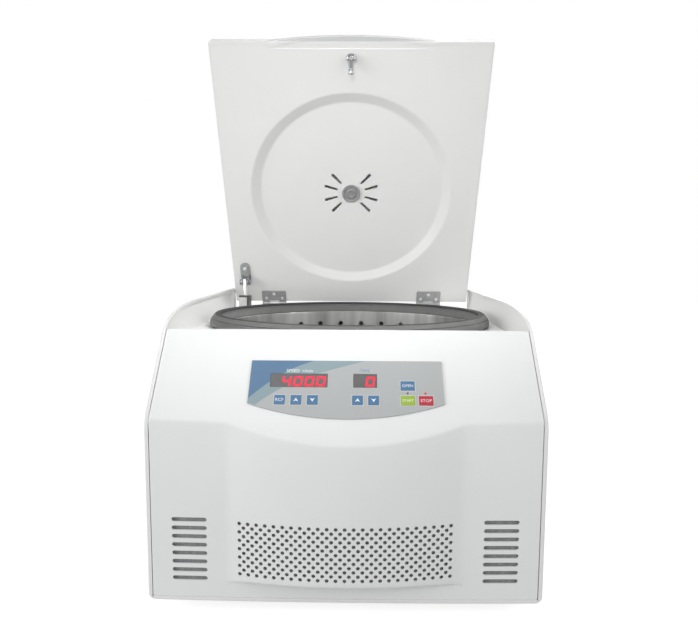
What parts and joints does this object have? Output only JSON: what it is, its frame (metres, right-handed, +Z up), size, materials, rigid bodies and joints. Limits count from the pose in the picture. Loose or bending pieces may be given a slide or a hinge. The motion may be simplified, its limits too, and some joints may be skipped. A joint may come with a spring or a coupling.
{
  "type": "low-speed centrifuge",
  "caption": "Benchtop low-speed centrifuge with a hinged lid standing open, a round steel chamber with a swing-out rotor, a sloping control panel and a vented front.",
  "frame": {"origin": "on the bench under the middle of the whole object, lid open", "axes": "+X to the right across the front, +Y from the front to the back, +Z up"},
  "size_m": [0.39, 0.4996, 0.6376],
  "materials": {
    "painted_white": "satin white paint",
    "moulded_white": "satin white moulding",
    "stainless": "brushed stainless steel",
    "rubber": "matt dark grey rubber",
    "galvanised": "satin plated steel",
    "bright_steel": "bright machined steel",
    "aluminium": "satin aluminium",
    "grey_plastic": "matt grey plastic",
    "white_plastic": "matt white plastic",
    "black_plastic": "matt black plastic",
    "panel_film": "printed panel film",
    "blue_key": "matt blue key",
    "green_key": "matt green key",
    "red_key": "matt red key",
    "window_tint": "dark display window",
    "circuit_board": "green circuit board"
  },
  "bodies": {
    "case": {"base_tray": "painted_white", "chamber_bowl": "stainless", "control_board": "circuit_board", "control_overlay": "panel_film", "foot_front_left": "rubber", "foot_front_right": "rubber", "foot_rear_left": "rubber", "foot_rear_right": "rubber", "front_shell": "moulded_white", "hinge_pin_left": "bright_steel", "hinge_pin_right": "bright_steel", "hinge_post_left": "bright_steel", "hinge_post_right": "bright_steel", "lock_housing": "black_plastic", "lower_bearing": "bright_steel", "motor_damper_1": "rubber", "motor_damper_2": "rubber", "motor_damper_3": "rubber", "motor_housing": "aluminium", "motor_mount_plate": "galvanised", "outer_casing": "painted_white", "power_board": "circuit_board", "power_inlet": "black_plastic", "power_switch_body": "black_plastic", "seal_ring": "rubber", "speed_window": "window_tint", "stay_stud": "bright_steel", "time_window": "window_tint", "top_deck": "painted_white", "upper_bearing": "bright_steel"},
    "lid": {"lid_cover": "painted_white", "lid_liner": "painted_white", "lid_vent_plug": "grey_plastic", "striker_clevis": "galvanised", "striker_cross_pin": "bright_steel", "hinge_leaf_left": "galvanised", "hinge_leaf_right": "galvanised", "stay_bracket": "galvanised", "stay_pin": "bright_steel"},
    "striker": {"lid_striker": "bright_steel"},
    "stay_rod": {"stay_rod": "bright_steel", "stay_block": "white_plastic"},
    "stay_cylinder": {"stay_cylinder": "galvanised"},
    "rotor": {"motor_shaft": "bright_steel", "rotor_head": "aluminium", "rotor_nut": "bright_steel"},
    "lock_bolt": {"lock_bolt": "bright_steel"},
    "power_rocker": {"power_rocker": "red_key"},
    "bucket_1": {"bucket_1": "aluminium"},
    "bucket_2": {"bucket_2": "aluminium"},
    "bucket_3": {"bucket_3": "aluminium"},
    "bucket_4": {"bucket_4": "aluminium"},
    "speed_mode_key": {"speed_mode_key": "blue_key"},
    "speed_up_key": {"speed_up_key": "blue_key"},
    "speed_down_key": {"speed_down_key": "blue_key"},
    "time_up_key": {"time_up_key": "blue_key"},
    "time_down_key": {"time_down_key": "blue_key"},
    "open_key": {"open_key": "blue_key"},
    "start_key": {"start_key": "green_key"},
    "stop_key": {"stop_key": "red_key"}
  },
  "joints": [
    {"name": "lid_hinge", "type": "hinge", "parent": "case", "child": "lid", "pos_m": [0, 0.22365, 0.2746], "axis": [1, 0, 0], "range_deg": [0, 62.07], "stiffness_Nm_per_rad": 2, "springref_deg": -143.24},
    {"name": "striker_swing", "type": "hinge", "parent": "lid", "child": "striker", "pos_m": [0, 0.04497, 0.60737], "axis": [1, 0, 0], "range_deg": [-62.07, 0]},
    {"name": "stay_rod_swing", "type": "hinge", "parent": "lid", "child": "stay_rod", "pos_m": [-0.1665, 0.19544, 0.30967], "axis": [1, 0, 0], "range_deg": [-62.07, 0]},
    {"name": "stay_cylinder_swing", "type": "hinge", "parent": "case", "child": "stay_cylinder", "pos_m": [-0.1665, 0.18325, 0.11], "axis": [1, 0, 0], "range_deg": [0, 4.9]},
    {"name": "rotor_spin", "type": "hinge", "parent": "case", "child": "rotor", "pos_m": [0, 0.04185, 0], "axis": [0, 0, 1], "continuous": true},
    {"name": "lock_bolt_slide", "type": "slide", "parent": "case", "child": "lock_bolt", "axis": [-1, 0, 0], "range_m": [0, 0.009]},
    {"name": "rocker_tilt", "type": "hinge", "parent": "case", "child": "power_rocker", "pos_m": [0.092, 0.24375, 0.062], "axis": [1, 0, 0], "range_deg": [0, 20]},
    {"name": "bucket_1_swing", "type": "hinge", "parent": "rotor", "child": "bucket_1", "pos_m": [0.075, 0.04185, 0.194], "axis": [0, -1, 0], "range_deg": [0, 90]},
    {"name": "bucket_2_swing", "type": "hinge", "parent": "rotor", "child": "bucket_2", "pos_m": [0, 0.11685, 0.194], "axis": [1, 0, 0], "range_deg": [0, 90]},
    {"name": "bucket_3_swing", "type": "hinge", "parent": "rotor", "child": "bucket_3", "pos_m": [-0.075, 0.04185, 0.194], "axis": [0, 1, 0], "range_deg": [0, 90]},
    {"name": "bucket_4_swing", "type": "hinge", "parent": "rotor", "child": "bucket_4", "pos_m": [0, -0.03315, 0.194], "axis": [-1, 0, 0], "range_deg": [0, 90]},
    {"name": "speed_mode_key_press", "type": "slide", "parent": "case", "child": "speed_mode_key", "axis": [0, 0.7453, -0.6667], "range_m": [0, 0.0005], "stiffness_N_per_m": 400},
    {"name": "speed_up_key_press", "type": "slide", "parent": "case", "child": "speed_up_key", "axis": [0, 0.7453, -0.6667], "range_m": [0, 0.0005], "stiffness_N_per_m": 400},
    {"name": "speed_down_key_press", "type": "slide", "parent": "case", "child": "speed_down_key", "axis": [0, 0.7453, -0.6667], "range_m": [0, 0.0005], "stiffness_N_per_m": 400},
    {"name": "time_up_key_press", "type": "slide", "parent": "case", "child": "time_up_key", "axis": [0, 0.7453, -0.6667], "range_m": [0, 0.0005], "stiffness_N_per_m": 400},
    {"name": "time_down_key_press", "type": "slide", "parent": "case", "child": "time_down_key", "axis": [0, 0.7453, -0.6667], "range_m": [0, 0.0005], "stiffness_N_per_m": 400},
    {"name": "open_key_press", "type": "slide", "parent": "case", "child": "open_key", "axis": [0, 0.7453, -0.6667], "range_m": [0, 0.0005], "stiffness_N_per_m": 400},
    {"name": "start_key_press", "type": "slide", "parent": "case", "child": "start_key", "axis": [0, 0.7453, -0.6667], "range_m": [0, 0.0005], "stiffness_N_per_m": 400},
    {"name": "stop_key_press", "type": "slide", "parent": "case", "child": "stop_key", "axis": [0, 0.7453, -0.6667], "range_m": [0, 0.0005], "stiffness_N_per_m": 400}
  ],
  "couplings": [
    {"joint": "striker_swing", "follows": "lid_hinge", "ratio": -1},
    {"joint": "stay_rod_swing", "follows": "lid_hinge", "ratio": -0.92126},
    {"joint": "stay_cylinder_swing", "follows": "lid_hinge", "ratio": 0.07874}
  ]
}
